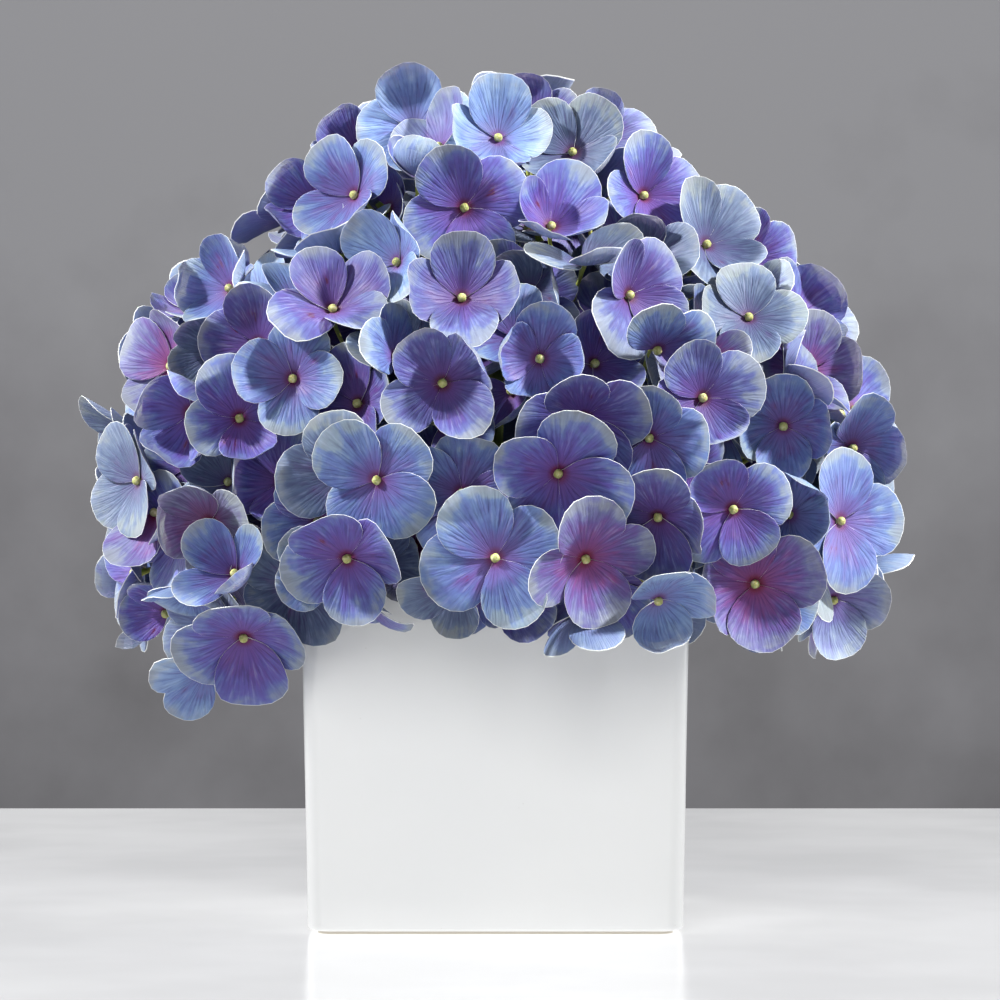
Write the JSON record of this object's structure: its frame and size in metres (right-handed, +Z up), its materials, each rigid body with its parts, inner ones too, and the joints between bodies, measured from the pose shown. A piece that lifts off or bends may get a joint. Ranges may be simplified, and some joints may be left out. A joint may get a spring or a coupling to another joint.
{
  "type": "cut hydrangeas in a square vase",
  "caption": "Dome of cut blue and violet hydrangea heads in a square white glazed vase, filled with floral foam that holds the stems.",
  "frame": {"origin": "centre of the vase's flat foot, on the surface it stands on", "axes": "+Z up; -Y towards the viewer, the side whose florets are placed by hand; +X to the viewer's right"},
  "size_m": [0.2643, 0.2438, 0.2712],
  "materials": {
    "glaze": "smooth white glossy glaze",
    "foam": "fine open-cell green floral foam, matte",
    "stalk": "matte green stem, slightly woody and ribbed",
    "petal": "soft matte sepals, blue to violet with a magenta eye, fine dark veins and a pale edge, on thin yellow-green stalks"
  },
  "bodies": {
    "root": {"cluster_back_left_1": "petal", "cluster_back_left_2": "petal", "cluster_back_left_3": "petal", "cluster_back_left_4": "petal", "cluster_back_left_5": "petal", "cluster_back_left_6": "petal", "cluster_back_right_1": "petal", "cluster_back_right_2": "petal", "cluster_back_right_3": "petal", "cluster_back_right_4": "petal", "cluster_back_right_5": "petal", "cluster_back_right_6": "petal", "cluster_front_left_1": "petal", "cluster_front_left_2": "petal", "cluster_front_left_3": "petal", "cluster_front_left_4": "petal", "cluster_front_left_5": "petal", "cluster_front_right_1": "petal", "cluster_front_right_2": "petal", "cluster_front_right_3": "petal", "cluster_front_right_4": "petal", "cluster_front_right_5": "petal", "cluster_front_right_6": "petal", "cluster_left_1": "petal", "cluster_left_2": "petal", "cluster_left_3": "petal", "cluster_left_4": "petal", "cluster_left_5": "petal", "cluster_left_6": "petal", "cluster_right_1": "petal", "cluster_right_2": "petal", "cluster_right_3": "petal", "cluster_right_4": "petal", "cluster_right_5": "petal", "cluster_right_6": "petal", "cluster_top_1": "petal", "cluster_top_10": "petal", "cluster_top_11": "petal", "cluster_top_2": "petal", "cluster_top_3": "petal", "cluster_top_4": "petal", "cluster_top_5": "petal", "cluster_top_6": "petal", "cluster_top_7": "petal", "cluster_top_8": "petal", "cluster_top_9": "petal", "floral_foam": "foam", "stem_back_left": "stalk", "stem_back_right": "stalk", "stem_front_left": "stalk", "stem_front_right": "stalk", "stem_left": "stalk", "stem_right": "stalk", "stem_top": "stalk", "vase": "glaze"}
  },
  "joints": []
}
